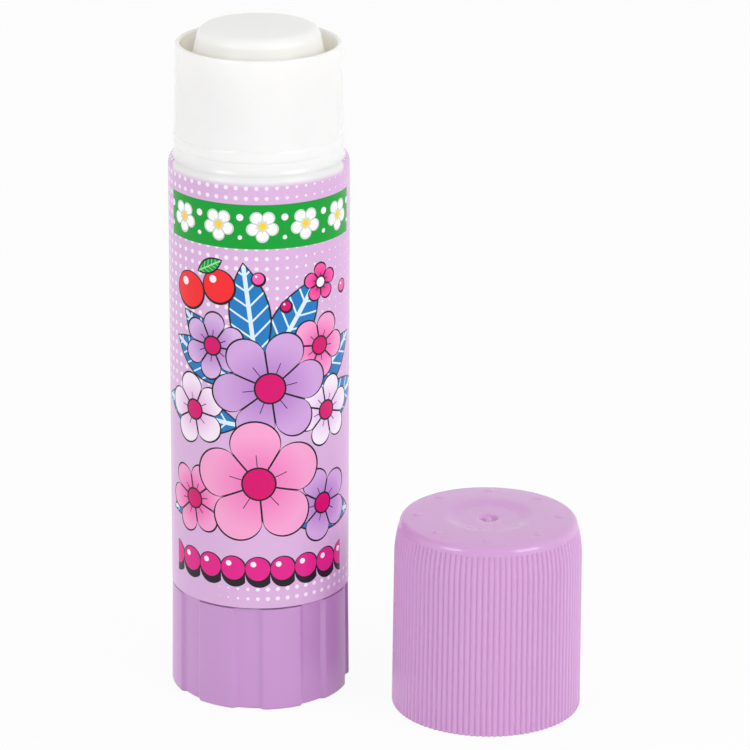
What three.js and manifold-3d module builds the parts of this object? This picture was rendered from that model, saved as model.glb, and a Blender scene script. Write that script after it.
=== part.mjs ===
// A twist-up glue stick with its cap taken off and standing beside it.
// Millimetres, +Z up. The origin is on the stick's axis, on the surface that it stands on,
// and angles round an axis run from the front (-Y) towards the right (+X).

import * as THREE from 'three';
import { mergeVertices } from 'three/addons/utils/BufferGeometryUtils.js';
import Module from 'manifold-3d';

const wasm = await Module();
wasm.setup();

// Lengths up the stick
const knobHeight = 15;
const knobGap = 0.25;
const bodyLength = 60.55;
const shoulderRise = 1.4;
const neckLength = 15.6;
const glueProud = 2.5;

// Tube
const barrelRadius = 12.28;
const shoulderWidth = 0.76;
const neckDraft = 0.24;
const rimWall = 0.63;
const floorThickness = 1.6;
const footChamfer = 0.2;
const snapBeadUp = 2.4;
const snapBeadHeight = 1.6;
const snapBeadProud = 0.15;
const skirtWall = 1.4;
const skirtChamfer = 0.3;
const guideRibCount = 4;
const guideRibPhase = 45;
const guideRibWidth = 1.2;
const guideRibRise = 0.5;
const guideRibBelowRim = 4.8;

// Label film
const filmThickness = 0.1;
const filmGap = 0.02;
const filmLift = 0.05;
const filmCurl = 75;

// Knob
const knobStep = 0.08;
const knobDraft = 0.19;
const knobWall = 1.1;
const knobFloor = 1.6;
const knobFootRound = 0.45;
const knobTopRound = 0.2;
const fluteCount = 8;
const flutePhase = 15.9;
const fluteDepth = 0.5;
const landHalfAngle = 11.4;
const flankAngle = 4.6;
const bossWall = 1.9;
const bossHeight = 7.4;
const webCount = 6;
const webThickness = 1;
const webHeight = 3.6;
const recessInner = 3.6;
const recessOuter = 9.6;
const recessDepth = 0.6;

// Spindle and its screw thread
const stemRadius = 2.9;
const collarStep = 1.7;
const collarHeight = 1;
const snapRingProud = 0.25;
const snapRingHeight = 1.2;
const snapRingUp = 3.2;
const threadLead = 5;
const threadCrest = 3.4;
const threadRoot = 2.35;
const threadCrestWidth = 1.2;
const threadFlankWidth = 0.7;
const threadFlat = 2.7;
const spindleBelowRim = 4.8;
const spindleTip = 0.8;

// Carrier
const carrierBase = 1.5;
const cupHeight = 5;
const cupWall = 0.85;
const bushWall = 1.45;
const bushHeight = 7;
const finCount = 4;
const finThickness = 0.8;
const finHeight = 2.6;

// Glue
const domeInset = 2.05;
const domeSlope = 0.24;
const domeCorner = 1.2;
const domeCrown = 0.25;
const glueOverSpindle = 0.9;

// Cap
const capHeight = 27.7;
const capWall = 1.34;
const capNeckGap = 0.18;
const capDraft = 0.008;
const capFootRound = 0.3;
const capFallReach = 5.7;
const capFall = 0.032;
const capCorner = 1;
const capCrown = 0.25;
const capCeiling = 1.5;
const capLeadIn = 0.35;
const capBoreDraft = 0.2;
const capBoreCorner = 0.7;
const capSnapUp = 1.2;
const capSnapHeight = 1;
const capSnapProud = 0.22;
const sealWall = 0.75;
const sealReach = 1.5;
const sealLeadIn = 0.3;
const knurlPairs = 51;
const knurlDepth = 0.2;
const knurlBelowCorner = 0.1;
const knurlFade = 0.3;
const dishRadius = 6.2;
const dishDepth = 0.45;
const dishEdge = 2.2;
const gateRadius = 1.5;
const gateFloorRadius = 0.95;
const gateDepth = 0.5;
const gateNubRadius = 0.5;
const gateNubHeight = 0.35;
const pipCount = 8;
const pipPhase = -1.8;
const pipCircle = 9.8;
const pipRadius = 0.5;
const pipTopRadius = 0.3;
const pipRise = 0.18;
const capX = 31.8;
const capY = -8;

// Clearances
const runningGap = 0.1;
const slidingGap = 0.15;
const seatGap = 0.05;
const threadGap = 0.2;
const liftGap = 0.3;

// How far a form is sunk into what it is moulded with, and how far a cut runs past a face
const joinDepth = 0.5;
const cutPast = 1;

// Facets
const roundSegments = 40;
const smallSegments = 16;
const threadSteps = 10;
const pipSegments = 6;
const filmSteps = 3;

// Heights that follow from them
const barrelFoot = knobHeight + knobGap;
const floorTop = barrelFoot + floorThickness;
const shoulderStart = barrelFoot + bodyLength;
const neckStart = shoulderStart + shoulderRise;
const rimTop = neckStart + neckLength;
const glueTop = rimTop + glueProud;
const bossTop = knobFloor + bossHeight;
const webTop = knobFloor + webHeight;
const collarBottom = floorTop + seatGap;
const collarTop = collarBottom + collarHeight;
const spindleTop = rimTop - spindleBelowRim;
const carrierBottom = collarTop + liftGap;
const cupFloor = carrierBottom + carrierBase;
const cupTop = carrierBottom + cupHeight;
const bushTop = carrierBottom + bushHeight;
const capFallStart = capHeight - capFallReach;
const capCornerStart = capHeight - capCrown - capCorner;
const knurlTop = capCornerStart - knurlBelowCorner;

// Radii that follow from them
const neckRadius = barrelRadius - shoulderWidth;
const rimRadius = neckRadius - neckDraft;
const boreRadius = rimRadius - rimWall;
const slidingRadius = boreRadius - slidingGap;
const knobTopRadius = barrelRadius + knobStep;
const knobFootRadius = knobTopRadius + knobDraft;
const knobBore = knobTopRadius - fluteDepth - knobWall;
const skirtRadius = knobBore - runningGap;
const bearingRadius = stemRadius + runningGap;
const bossRadius = stemRadius + bossWall;
const bushBore = threadCrest + slidingGap;
const bushRadius = bushBore + bushWall;
const cupBore = slidingRadius - cupWall;
const capBore = neckRadius + snapBeadProud + capNeckGap;
const capRadius = capBore + capWall;
const knurlCount = 2 * knurlPairs;

// Helpers for angles, profiles and solids

const radians = THREE.MathUtils.degToRad;

function point(radius, angle, z) {
  return new THREE.Vector3(radius * Math.sin(angle), -radius * Math.cos(angle), z);
}

// Points of an elliptical arc in the [radius, height] plane of a profile
function arc(centreR, centreZ, radiusR, radiusZ, from, to, steps) {
  const points = [];
  for (let i = 0; i <= steps; i += 1) {
    const a = radians(from + ((to - from) * i) / steps);
    points.push([centreR + radiusR * Math.cos(a), centreZ + radiusZ * Math.sin(a)]);
  }
  return points;
}

// A geometry as a solid that can be joined and cut: shared vertices, no empty triangles
function toSolid(geometry) {
  const source = geometry.clone();
  source.deleteAttribute('normal');
  source.deleteAttribute('uv');
  const merged = mergeVertices(source, 1e-4);
  const index = merged.index.array;
  const triangles = [];
  for (let i = 0; i < index.length; i += 3) {
    const [a, b, c] = [index[i], index[i + 1], index[i + 2]];
    if (a !== b && b !== c && c !== a) {
      triangles.push(a, b, c);
    }
  }
  return new wasm.Manifold(new wasm.Mesh({
    numProp: 3,
    vertProperties: new Float32Array(merged.attributes.position.array),
    triVerts: new Uint32Array(triangles),
  }));
}

function toGeometry(solid) {
  const mesh = solid.getMesh();
  const geometry = new THREE.BufferGeometry();
  geometry.setAttribute('position', new THREE.BufferAttribute(mesh.vertProperties, 3));
  geometry.setIndex(new THREE.BufferAttribute(mesh.triVerts, 1));
  geometry.computeVertexNormals();
  return geometry;
}

function indexed(positions, index) {
  const geometry = new THREE.BufferGeometry();
  geometry.setAttribute('position', new THREE.Float32BufferAttribute(positions, 3));
  geometry.setIndex(index);
  return toSolid(geometry);
}

// Revolves [radius, height] points round the axis, up the outside and down the inside
function revolve(profile, segments = roundSegments) {
  const points = profile.map(([r, z]) => new THREE.Vector2(Math.max(r, 0), z));
  return toSolid(new THREE.LatheGeometry(points, segments).rotateX(Math.PI / 2));
}

function revolveRing(profile, segments = roundSegments) {
  return revolve([...profile, profile[0]], segments);
}

// A rectangular plate that stands on a radius, from radius r0 to r1 and height z0 to z1
function radialPlate(r0, r1, z0, z1, thickness, angle) {
  const plate = new THREE.BoxGeometry(thickness, r1 - r0, z1 - z0);
  plate.translate(0, -(r0 + r1) / 2, (z0 + z1) / 2);
  plate.rotateZ(angle);
  return toSolid(plate);
}

function aroundAxis(count, phase, make) {
  const copies = [];
  for (let i = 0; i < count; i += 1) {
    copies.push(make(radians(phase + (i * 360) / count)));
  }
  return wasm.Manifold.union(copies);
}

// Joins closed rings of points, stacked upwards, into one solid with a fan at each end.
// A ring may have a whole number of times fewer points than the one under it.
function loft(rings) {
  const positions = [];
  const index = [];
  const starts = rings.map((ring) => {
    const start = positions.length / 3;
    ring.forEach((p) => positions.push(p.x, p.y, p.z));
    return start;
  });
  for (let k = 0; k + 1 < rings.length; k += 1) {
    const fine = rings[k].length;
    const coarse = rings[k + 1].length;
    const ratio = fine / coarse;
    const half = Math.ceil(ratio / 2);
    for (let i = 0; i < coarse; i += 1) {
      const upper = starts[k + 1] + i;
      const upperNext = starts[k + 1] + ((i + 1) % coarse);
      for (let j = 0; j < ratio; j += 1) {
        const lower = starts[k] + i * ratio + j;
        const lowerNext = starts[k] + ((i * ratio + j + 1) % fine);
        index.push(lower, lowerNext, j < half ? upper : upperNext);
      }
      index.push(starts[k] + ((i * ratio + half) % fine), upperNext, upper);
    }
  }
  [0, rings.length - 1].forEach((k) => {
    const ring = rings[k];
    const sum = ring.reduce((total, p) => total.add(p), new THREE.Vector3());
    const middle = positions.length / 3;
    positions.push(sum.x / ring.length, sum.y / ring.length, sum.z / ring.length);
    for (let i = 0; i < ring.length; i += 1) {
      const a = starts[k] + i;
      const b = starts[k] + ((i + 1) % ring.length);
      index.push(middle, k === 0 ? b : a, k === 0 ? a : b);
    }
  });
  return indexed(positions, index);
}

// A ridge wound left-handed round the axis, its section given as [radius, height] points.
// reference is its height at the front, and it runs as far as fits between bottom and top.
function leftHandRidge(section, reference, bottom, top) {
  const stepRise = threadLead / threadSteps;
  const first = Math.ceil((bottom - reference) / stepRise);
  const last = Math.floor((top - reference) / stepRise);
  const count = section.length;
  const positions = [];
  const index = [];
  for (let s = first; s <= last; s += 1) {
    const angle = (-2 * Math.PI * s) / threadSteps;
    section.forEach(([r, z]) => {
      const p = point(r, angle, reference + s * stepRise + z);
      positions.push(p.x, p.y, p.z);
    });
  }
  const end = (last - first) * count;
  for (let a = 0; a < end; a += count) {
    for (let i = 0; i < count; i += 1) {
      const b = a + i;
      const c = a + ((i + 1) % count);
      index.push(b, c, b + count, c, c + count, b + count);
    }
  }
  for (let i = 1; i + 1 < count; i += 1) {
    index.push(0, i + 1, i, end, end + i, end + i + 1);
  }
  return indexed(positions, index);
}

// Shapes that two pieces share

// The tube's shoulder, a quarter ellipse. offset grows it evenly for what lies on it.
function shoulder(offset, from, to, steps) {
  const across = shoulderWidth + offset;
  return arc(neckRadius, shoulderStart, across, shoulderRise + offset, from, to, steps);
}

// The low ribs in the bore that keep the carrier and the glue from turning
function guideRibs(clearance, bottom, top) {
  const inner = boreRadius - guideRibRise - clearance;
  const outer = boreRadius + rimWall / 2;
  const width = guideRibWidth + 2 * clearance;
  return aroundAxis(guideRibCount, guideRibPhase, (angle) => (
    radialPlate(inner, outer, bottom, top, width, angle)
  ));
}

// The fins that stand in the carrier's cup and key the glue to it
function carrierFins(clearance) {
  const inner = bushRadius - joinDepth;
  const outer = cupBore + cupWall / 2;
  const top = cupFloor + finHeight + clearance;
  const thickness = finThickness + 2 * clearance;
  return aroundAxis(finCount, 0, (angle) => (
    radialPlate(inner, outer, cupFloor - joinDepth, top, thickness, angle)
  ));
}

// The spindle's hexagonal foot and its snap ring, or with a clearance their socket in the knob
function spindleFoot(clearance, bottom, top) {
  const radius = stemRadius + clearance;
  const flatRadius = radius * Math.cos(Math.PI / 6);
  const ringBottom = knobFloor + snapRingUp - clearance;
  const ringTop = knobFloor + snapRingUp + snapRingHeight + clearance;
  const hexagon = revolve([[0, bottom], [radius, bottom], [radius, top], [0, top]], 6);
  const ring = revolve([
    [0, ringBottom],
    [flatRadius, ringBottom],
    [radius + snapRingProud, (ringBottom + ringTop) / 2],
    [flatRadius, ringTop],
    [0, ringTop],
  ], smallSegments);
  return hexagon.add(ring);
}

// Barrel: one moulding with the foot skirt, the bearing floor, the bore with its guide ribs,
// the shoulder, the snap bead for the cap and the thin rim
function makeBarrel() {
  const skirtBottom = webTop + liftGap;
  const skirtBore = skirtRadius - skirtWall;
  const beadMiddle = neckStart + snapBeadUp;
  const rimRound = rimWall / 2;
  const tube = revolveRing([
    [skirtBore, skirtBottom],
    [skirtRadius - skirtChamfer, skirtBottom],
    [skirtRadius, skirtBottom + skirtChamfer],
    [skirtRadius, barrelFoot],
    [barrelRadius - footChamfer, barrelFoot],
    [barrelRadius, barrelFoot + footChamfer],
    ...shoulder(0, 0, filmCurl, filmSteps),
    [neckRadius, neckStart],
    ...arc(neckRadius, beadMiddle, snapBeadProud, snapBeadHeight / 2, -90, 90, 3),
    ...arc(rimRadius - rimRound, rimTop - rimRound, rimRound, rimRound, 0, 180, 3),
    [boreRadius, floorTop],
    [bearingRadius, floorTop],
    [bearingRadius, barrelFoot],
    [skirtBore, barrelFoot],
  ]);
  return tube.add(guideRibs(0, floorTop - joinDepth, rimTop - guideRibBelowRim));
}

// Label: a thin film shrunk round the tube, its top edge drawn in over the shoulder
function makeLabel() {
  const bottom = barrelFoot + filmLift;
  const outside = filmGap + filmThickness;
  return revolveRing([
    [barrelRadius + filmGap, bottom],
    [barrelRadius + outside, bottom],
    ...shoulder(outside, 0, filmCurl, filmSteps),
    ...shoulder(filmGap, filmCurl, 0, filmSteps),
  ]);
}

// The knob's fluted section at one height: a land, then a groove, with an S-shaped flank between
function knobSection(landRadius, z) {
  const flank = [0, 1 / 3, 2 / 3, 1];
  const ring = [];
  for (let i = 0; i < fluteCount; i += 1) {
    const middle = flutePhase + (i * 360) / fluteCount;
    const add = (degrees, depth) => {
      ring.push(point(landRadius - depth * fluteDepth, radians(middle + degrees), z));
    };
    const addFlank = (side, t) => add(side * (landHalfAngle + t * flankAngle), t * t * (3 - 2 * t));
    [...flank].reverse().forEach((t) => addFlank(-1, t));
    add(0, 0);
    flank.forEach((t) => addFlank(1, t));
    add(180 / fluteCount, 1);
  }
  return ring;
}

// Knob: a fluted skirt closed by a floor, with webs and a boss that holds the spindle's foot
function makeKnob() {
  const landRadius = (z) => knobFootRadius - (knobDraft * z) / knobHeight;
  const foot = arc(-knobFootRound, knobFootRound, knobFootRound, knobFootRound, -90, 0, 2);
  const lip = arc(-knobTopRound, knobHeight - knobTopRound, knobTopRound, knobTopRound, 0, 90, 2);
  const outside = loft([...foot, ...lip].map(([inset, z]) => knobSection(landRadius(z) + inset, z)));
  const hollow = revolve([
    [0, bossTop],
    [bossRadius, bossTop],
    [bossRadius, knobFloor],
    [knobBore, knobFloor],
    [knobBore, knobHeight + cutPast],
    [0, knobHeight + cutPast],
  ]);
  const webs = aroundAxis(webCount, 0, (angle) => (
    radialPlate(0, knobBore + joinDepth, knobFloor - joinDepth, webTop, webThickness, angle)
  ));
  const recess = revolveRing([
    [recessInner, -cutPast],
    [recessOuter, -cutPast],
    [recessOuter, recessDepth / 2],
    [recessOuter - recessDepth / 2, recessDepth],
    [recessInner + recessDepth / 2, recessDepth],
    [recessInner, recessDepth / 2],
  ]);
  const socket = spindleFoot(seatGap, knobFloor, bossTop + cutPast);
  return outside.subtract(hollow).add(webs).subtract(recess).subtract(socket);
}

// Spindle: a coarse left-hand screw with two flats, on a collar that bears on the tube's floor,
// with a hexagonal foot snapped into the knob
function makeSpindle() {
  const core = revolve([
    [0, bossTop],
    [stemRadius, bossTop],
    [stemRadius, collarBottom],
    [stemRadius + collarStep, collarBottom],
    [stemRadius + collarStep, collarTop],
    [threadRoot, collarTop],
    [threadRoot, spindleTop - spindleTip],
    [threadRoot - spindleTip, spindleTop],
    [0, spindleTop],
  ], threadSteps);
  const half = threadCrestWidth / 2;
  const reach = half + threadFlankWidth;
  const ridge = leftHandRidge([
    [threadRoot - joinDepth, reach],
    [threadRoot - joinDepth, -reach],
    [threadCrest, -half],
    [threadCrest, half],
  ], collarTop + threadLead / 2, collarTop + reach, spindleTop - spindleTip - reach);
  const flats = new THREE.BoxGeometry(2 * threadFlat, 4 * threadCrest, spindleTop - collarTop);
  flats.translate(0, 0, (spindleTop + collarTop) / 2);
  const foot = spindleFoot(0, knobFloor + seatGap, bossTop + joinDepth);
  return core.add(ridge.intersect(toSolid(flats))).add(foot);
}

// Carrier: the cup under the glue, with a threaded bush, notches for the guide ribs, and fins
function makeCarrier() {
  const cup = revolveRing([
    [bushBore, carrierBottom],
    [slidingRadius, carrierBottom],
    [slidingRadius, cupTop],
    [cupBore, cupTop],
    [cupBore, cupFloor],
    [bushRadius, cupFloor],
    [bushRadius, bushTop],
    [bushBore, bushTop],
  ]);
  const half = (threadLead - threadCrestWidth) / 2 - threadGap;
  const tip = half - threadFlankWidth;
  const thread = leftHandRidge([
    [threadRoot + threadGap, -tip],
    [bushBore + joinDepth, -half],
    [bushBore + joinDepth, half],
    [threadRoot + threadGap, tip],
  ], collarTop + threadLead, carrierBottom + half, bushTop - half);
  const notches = guideRibs(slidingGap, carrierBottom - cutPast, cupTop + cutPast);
  return cup.add(carrierFins(0)).add(thread).subtract(notches);
}

// Glue: the cast column round the spindle, drawn in to a slightly crowned top
function makeGlue() {
  const bottom = cupFloor + seatGap;
  const ledge = cupTop + seatGap;
  const footRadius = cupBore - seatGap;
  const bushSeat = bushRadius + seatGap;
  const screwBore = threadCrest + liftGap;
  const domeRadius = slidingRadius - domeInset;
  const domeEdge = glueTop - domeCrown - domeCorner;
  const flatRadius = domeRadius - domeCorner;
  const crown = [1, 1 / 2, 0].map((share) => (
    [flatRadius * share, glueTop - domeCrown * share * share]
  ));
  const column = revolve([
    [0, spindleTop + glueOverSpindle],
    [threadRoot, spindleTop + glueOverSpindle],
    [screwBore, spindleTop],
    [screwBore, bushTop + seatGap],
    [bushSeat, bushTop + seatGap],
    [bushSeat, bottom],
    [footRadius, bottom],
    [footRadius, ledge],
    [slidingRadius, ledge],
    [slidingRadius, domeEdge - domeInset / domeSlope],
    ...arc(flatRadius, domeEdge, domeCorner, domeCorner, 0, 86, 4),
    ...crown,
  ]);
  const grooves = guideRibs(slidingGap, cupTop, glueTop);
  return column.subtract(grooves).subtract(carrierFins(seatGap));
}

// The cap's side: a light draft that falls away faster near the top
function capSide(z) {
  const above = Math.max(0, z - capFallStart);
  return capRadius - capDraft * z - capFall * above * above;
}

// The cap's knurled section: for each rib a flat land and the bottom of a groove
function knurlSection(z, inset) {
  const radius = capSide(z) - inset;
  const ring = [];
  for (let i = 0; i < knurlCount; i += 1) {
    const angle = (share) => (2 * Math.PI * (i + share)) / knurlCount;
    ring.push(point(radius, angle(0), z));
    ring.push(point(radius, angle(1 / 3), z));
    ring.push(point(radius - knurlDepth, angle(2 / 3), z));
  }
  return ring;
}

function capSection(count, radius, z) {
  const ring = [];
  for (let i = 0; i < count; i += 1) {
    ring.push(point(radius, (2 * Math.PI * i) / count, z));
  }
  return ring;
}

// How high up the tube's shoulder the cap's mouth rests when the cap is pressed on
function capSeat() {
  const across = (capBore - neckRadius) / shoulderWidth;
  return shoulderStart + shoulderRise * Math.sqrt(1 - across * across);
}

// Cap: a knurled shell moulded in one with the ring that plugs the tube's mouth
function makeCap() {
  const cornerR = capSide(capCornerStart) - capCorner;
  const crownAt = (r) => capHeight - capCrown * ((r - dishRadius) / (cornerR - dishRadius)) ** 2;
  const crownMiddle = (cornerR + dishRadius) / 2;
  const dishFloor = capHeight - dishDepth;
  const gateFloor = dishFloor - gateDepth;
  const top = [
    ...arc(cornerR, capCornerStart, capCorner, capCorner, 0, 80, 3),
    [crownMiddle, crownAt(crownMiddle)],
    [dishRadius, capHeight],
    [dishRadius - dishEdge, dishFloor],
    [gateRadius, dishFloor],
    [gateFloorRadius, gateFloor],
    [gateNubRadius, gateFloor],
    [gateNubRadius / 2, gateFloor + gateNubHeight],
  ];
  const shell = loft([
    knurlSection(0, capFootRound),
    ...[capFootRound, capFallStart, (capFallStart + knurlTop) / 2, knurlTop - knurlFade].map((z) => (
      knurlSection(z, 0)
    )),
    capSection(knurlCount, capSide(knurlTop), knurlTop),
    ...top.map(([r, z]) => capSection(knurlPairs, r, z)),
  ]);
  const ceiling = dishFloor - capCeiling;
  const sealBottom = rimTop - capSeat() - sealReach;
  const hollow = revolve([
    [0, -cutPast],
    [capBore + capLeadIn, -cutPast],
    [capBore + capLeadIn, 0],
    [capBore, capLeadIn],
    ...arc(capBore, capSnapUp, -capSnapProud, capSnapHeight / 2, -90, 90, 2),
    [capBore - capBoreDraft, ceiling - capBoreCorner],
    [capBore - capBoreDraft - capBoreCorner, ceiling],
    [slidingRadius, ceiling],
    [slidingRadius, sealBottom + sealLeadIn],
    [slidingRadius - sealLeadIn, sealBottom],
    [slidingRadius - sealWall, sealBottom],
    [slidingRadius - sealWall, ceiling],
    [0, ceiling],
  ]);
  const pips = aroundAxis(pipCount, pipPhase, (angle) => {
    const pip = new THREE.CylinderGeometry(pipTopRadius, pipRadius, pipRise + joinDepth, pipSegments);
    pip.rotateX(Math.PI / 2);
    const middle = point(pipCircle, angle, crownAt(pipCircle) + (pipRise - joinDepth) / 2);
    pip.translate(middle.x, middle.y, middle.z);
    return toSolid(pip);
  });
  return shell.subtract(hollow).add(pips);
}

// Materials
const whitePlastic = new THREE.MeshStandardMaterial({ color: '#f1f0f1', roughness: 0.35, metalness: 0 });
const printedFilm = new THREE.MeshStandardMaterial({ color: '#e2bee3', roughness: 0.3, metalness: 0 });
const lilacKnob = new THREE.MeshStandardMaterial({ color: '#c79bd0', roughness: 0.45, metalness: 0 });
const plainPlastic = new THREE.MeshStandardMaterial({ color: '#eceae6', roughness: 0.5, metalness: 0 });
const castGlue = new THREE.MeshStandardMaterial({ color: '#f4f4f2', roughness: 0.55, metalness: 0 });
const lilacCap = new THREE.MeshStandardMaterial({ color: '#d0a1d6', roughness: 0.4, metalness: 0 });

// Assembly

function piece(name, solid, material) {
  const mesh = new THREE.Mesh(toGeometry(solid), material);
  mesh.name = name;
  return mesh;
}

const stick = new THREE.Group();
stick.add(
  piece('barrel', makeBarrel(), whitePlastic),
  piece('label_sleeve', makeLabel(), printedFilm),
  piece('turning_knob', makeKnob(), lilacKnob),
  piece('spindle', makeSpindle(), plainPlastic),
  piece('carrier', makeCarrier(), plainPlastic),
  piece('glue_column', makeGlue(), castGlue),
);

const cap = piece('cap', makeCap(), lilacCap);
cap.position.set(capX, capY, 0);

const glueStick = new THREE.Group();
glueStick.add(stick, cap);

export default glueStick;
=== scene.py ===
"""A twist-up glue stick, its cap taken off and standing beside it.

Lengths of the pieces are in millimetres and a mesh is put in metres where it is made. The reach of
the camera, the table and the lights are in metres. +Z is up, and an angle round an axis runs from the
front (-Y) towards the right (+X).
"""

import bpy
import numpy as np
from mathutils import Matrix, Vector


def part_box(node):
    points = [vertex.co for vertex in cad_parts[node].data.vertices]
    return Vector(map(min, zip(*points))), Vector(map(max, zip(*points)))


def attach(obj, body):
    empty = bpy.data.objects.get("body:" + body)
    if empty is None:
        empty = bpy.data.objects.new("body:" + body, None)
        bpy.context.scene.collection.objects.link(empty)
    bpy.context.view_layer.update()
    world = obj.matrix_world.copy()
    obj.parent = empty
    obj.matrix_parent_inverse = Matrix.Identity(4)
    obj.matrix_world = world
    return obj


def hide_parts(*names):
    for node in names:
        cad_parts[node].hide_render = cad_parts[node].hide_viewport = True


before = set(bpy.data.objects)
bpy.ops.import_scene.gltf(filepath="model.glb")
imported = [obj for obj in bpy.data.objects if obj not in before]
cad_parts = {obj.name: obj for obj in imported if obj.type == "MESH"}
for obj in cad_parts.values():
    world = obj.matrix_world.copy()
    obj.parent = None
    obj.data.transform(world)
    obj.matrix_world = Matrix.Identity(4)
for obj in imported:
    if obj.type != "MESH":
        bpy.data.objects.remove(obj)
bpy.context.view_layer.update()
scene = bpy.context.scene


# The view: a long lens, held a little to the right of the stick and looking down at it, so that
# the stick stands at the left of the square picture and the cap at its lower right.
METRES = 0.001
CAMERA_PLACE = (15.97, -526.98, 225.90)
CAMERA_PITCH = 0.33025
CAMERA_ROLL = 0.0064
FOCAL_LENGTH = 192.93
SENSOR_WIDTH = 36.0
NEAREST_SEEN = 0.05
FARTHEST_SEEN = 20.0

camera_data = bpy.data.cameras.new("camera")
camera_data.lens = FOCAL_LENGTH
camera_data.sensor_width = SENSOR_WIDTH
camera_data.sensor_fit = "HORIZONTAL"
camera_data.clip_start = NEAREST_SEEN
camera_data.clip_end = FARTHEST_SEEN
camera = bpy.data.objects.new("camera", camera_data)
scene.collection.objects.link(camera)
camera.matrix_world = (
    Matrix.Translation(Vector(CAMERA_PLACE) * METRES)
    @ Matrix.Rotation(np.pi / 2 - CAMERA_PITCH, 4, "X")
    @ Matrix.Rotation(CAMERA_ROLL, 4, "Z")
)
scene.camera = camera
scene.view_settings.view_transform = "Standard"


# The table and the light: a white sheet that fills the view, a tall softbox on either side of the
# front, and a white room round them, darker overhead and behind the camera. The sheet keeps a shadow.
SHEET_RADIUS = 4.0
SHEET_CORNERS = 64
ROOM_LEVEL = 0.85
ROOM_TILT = (0.0, 0.25, -0.36)
SEEN_LEVEL = 0.95
SEEN_TILT = (0.0, 0.55, 0.0)
CARD_GLOW = 0.93
LIGHT_AIM = (0.012, 0.0, 0.05)
LIGHT_AWAY = 0.8
SOFTBOXES = {
    "softbox_left": {"turn": -48, "rise": 24, "width": 0.34, "height": 0.50, "power": 1.9},
    "softbox_right": {"turn": 52, "rise": 24, "width": 0.40, "height": 0.50, "power": 2.65},
}


def linear(code):
    """An sRGB hex colour as linear red, green, blue and alpha, by the sRGB curve's two pieces."""
    values = np.array([int(code[i:i + 2], 16) for i in (1, 3, 5)]) / 255
    low = values / 12.92
    high = ((values + 0.055) / 1.055) ** 2.4
    return (*np.where(values <= 0.04045, low, high).tolist(), 1.0)


def add(tree, kind, inputs=None, **settings):
    """Adds a node, sets its properties, and sets or links its inputs, each by its name or its place. A
    Mix node's two colours are 6 and 7. A node given as an input's value stands for the first output
    that it has in use."""
    node = tree.nodes.new("ShaderNode" + kind)
    for name, value in settings.items():
        setattr(node, name, value)
    for name, value in (inputs or {}).items():
        if isinstance(value, bpy.types.Node):
            value = next(output for output in value.outputs if output.enabled)
        if isinstance(value, bpy.types.NodeSocket):
            tree.links.new(value, node.inputs[name])
        else:
            node.inputs[name].default_value = value
    return node


def new_material(name):
    """A new material with an empty node tree, and that tree."""
    material = bpy.data.materials.new(name)
    material.use_nodes = True
    material.node_tree.nodes.clear()
    return material, material.node_tree


def seen_directly(tree):
    """One for rays from the camera, from gloss or through glass, and zero for rays that gather light."""
    path = add(tree, "LightPath")
    gloss = add(tree, "Math", {0: path.outputs["Is Camera Ray"], 1: path.outputs["Is Glossy Ray"]},
                operation="MAXIMUM")
    return add(tree, "Math", {0: gloss, 1: path.outputs["Is Transmission Ray"]}, operation="MAXIMUM")


world = bpy.data.worlds.new("white_room")
scene.world = world
world.use_nodes = True
world.node_tree.nodes.clear()
room_tree = world.node_tree
direction = add(room_tree, "TexCoord").outputs["Generated"]
room_slope = add(room_tree, "VectorMath", {0: direction, 1: ROOM_TILT}, operation="DOT_PRODUCT")
seen_slope = add(room_tree, "VectorMath", {0: direction, 1: SEEN_TILT}, operation="DOT_PRODUCT")
room_level = add(room_tree, "Math", {0: room_slope, 1: ROOM_LEVEL}, operation="ADD")
seen_level = add(room_tree, "Math", {0: seen_slope, 1: SEEN_LEVEL}, operation="ADD")
seen_level = add(room_tree, "Math", {0: seen_level, 1: 1.0}, operation="MINIMUM")
room_strength = add(room_tree, "MapRange", {
    "Value": seen_directly(room_tree), "To Min": room_level, "To Max": seen_level,
})
room = add(room_tree, "Background", {"Color": linear("#ffffff"), "Strength": room_strength})
add(room_tree, "OutputWorld", {"Surface": room})

for name, box in SOFTBOXES.items():
    light_data = bpy.data.lights.new(name, "AREA")
    light_data.shape = "RECTANGLE"
    light_data.size = box["width"]
    light_data.size_y = box["height"]
    light_data.energy = box["power"]
    turn, rise = np.radians([box["turn"], box["rise"]])
    towards = Vector((np.sin(turn) * np.cos(rise), -np.cos(turn) * np.cos(rise), np.sin(rise)))
    light = bpy.data.objects.new(name, light_data)
    light.location = Vector(LIGHT_AIM) + towards * LIGHT_AWAY
    light.rotation_mode = "QUATERNION"
    light.rotation_quaternion = towards.to_track_quat("Z", "Y")
    scene.collection.objects.link(light)

sheet_turn = np.linspace(0, 2 * np.pi, SHEET_CORNERS, endpoint=False)
sheet_mesh = bpy.data.meshes.new("white_sheet")
sheet_mesh.from_pydata(
    np.stack([np.cos(sheet_turn), np.sin(sheet_turn), 0 * sheet_turn], axis=1) * SHEET_RADIUS,
    [], [list(range(SHEET_CORNERS))],
)
white_sheet = bpy.data.objects.new("white_sheet", sheet_mesh)
scene.collection.objects.link(white_sheet)
paper, paper_tree = new_material("matte_white_card")
lit_card = add(paper_tree, "BsdfDiffuse", {"Color": linear("#f4f4f4")})
bright_card = add(paper_tree, "Emission", {"Color": linear("#ffffff"), "Strength": 1.0})
card_share = add(paper_tree, "Math", {0: seen_directly(paper_tree), 1: CARD_GLOW}, operation="MULTIPLY")
card = add(paper_tree, "MixShader", {0: card_share, 1: lit_card, 2: bright_card})
add(paper_tree, "OutputMaterial", {"Surface": card})
sheet_mesh.materials.append(paper)


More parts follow.
